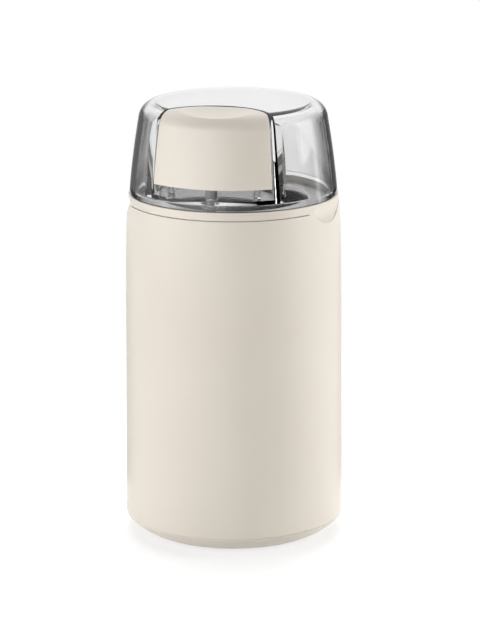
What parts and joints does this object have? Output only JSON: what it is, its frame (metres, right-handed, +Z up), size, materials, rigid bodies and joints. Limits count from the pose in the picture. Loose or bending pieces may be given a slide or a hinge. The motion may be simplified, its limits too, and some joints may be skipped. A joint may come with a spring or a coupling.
{
  "type": "electric coffee grinder",
  "caption": "Electric blade coffee grinder: round cream housing with motor, steel bowl and blade, clear lift-off lid and a sprung thumb button in the lid that works the switch.",
  "frame": {"origin": "on the table under the middle of the grinder", "axes": "+Z up along the motor shaft, -Y towards the thumb button, +X to the right seen from the button"},
  "size_m": [0.0898, 0.0898, 0.1793],
  "materials": {
    "cream_plastic": "satin",
    "clear_plastic": "clear",
    "stainless_steel": "brushed",
    "zinc_steel": "zinc plated",
    "shaft_steel": "ground",
    "spring_steel": "drawn",
    "laminated_steel": "stacked sheet",
    "copper_wire": "enamelled",
    "copper_bars": "turned",
    "brass_sheet": "rolled",
    "bronze": "sintered",
    "carbon": "matt",
    "cast_aluminium": "die cast",
    "black_plastic": "fine grain",
    "grey_plastic": "smooth",
    "yellow_plastic": "gloss",
    "grey_rubber": "matt",
    "black_rubber": "matt",
    "silicone": "matt"
  },
  "bodies": {
    "grinder_body": {"base_cover": "cream_plastic", "base_screws": "zinc_steel", "bowl_gasket": "silicone", "bowl_nut": "stainless_steel", "bracket_screws": "zinc_steel", "brush_spring_left": "spring_steel", "brush_spring_right": "spring_steel", "brush_tube_left": "brass_sheet", "brush_tube_right": "brass_sheet", "carbon_brush_left": "carbon", "carbon_brush_right": "carbon", "cord_gland": "grey_rubber", "field_coil_left": "copper_wire", "field_coil_right": "copper_wire", "foot_back": "grey_rubber", "foot_front": "grey_rubber", "foot_left": "grey_rubber", "foot_right": "grey_rubber", "grinding_bowl": "stainless_steel", "housing": "cream_plastic", "lower_bearing": "bronze", "motor_bolts": "zinc_steel", "motor_bottom_bracket": "black_plastic", "motor_damper": "black_rubber", "motor_top_bracket": "cast_aluminium", "plunger_spring": "spring_steel", "shaft_seal": "black_rubber", "stator_core": "laminated_steel", "suppression_capacitor": "yellow_plastic", "switch_carrier": "black_plastic", "switch_case": "black_plastic", "switch_tabs": "brass_sheet", "thrust_plate": "zinc_steel", "top_collar": "cream_plastic", "upper_bearing": "bronze"},
    "lid": {"lid_shell": "clear_plastic"},
    "button": {"button_cap": "cream_plastic", "push_pin": "grey_plastic"},
    "plunger": {"switch_plunger": "grey_plastic", "switch_slider": "grey_plastic"},
    "rotor": {"motor_shaft": "shaft_steel", "armature_core": "laminated_steel", "armature_winding": "copper_wire", "commutator": "copper_bars", "cooling_fan": "black_plastic", "thrust_washer": "zinc_steel", "blade_hub": "black_plastic", "blade": "stainless_steel", "blade_nut": "stainless_steel"}
  },
  "joints": [
    {"name": "lid_lift", "type": "slide", "parent": "grinder_body", "child": "lid", "axis": [0, 0, 1], "range_m": [0, 0.08]},
    {"name": "button_press", "type": "slide", "parent": "lid", "child": "button", "axis": [0, 0, -1], "range_m": [0, 0.004], "stiffness_N_per_m": 600, "springref_m": -0.002},
    {"name": "plunger_travel", "type": "slide", "parent": "grinder_body", "child": "plunger", "axis": [0, 0, -1], "range_m": [0, 0.004], "deforming": ["plunger_spring"]},
    {"name": "blade_spin", "type": "hinge", "parent": "grinder_body", "child": "rotor", "pos_m": [0, 0, 0.1], "axis": [0, 0, 1], "continuous": true}
  ],
  "couplings": [
    {"joint": "plunger_travel", "follows": "button_press", "ratio": 1}
  ]
}
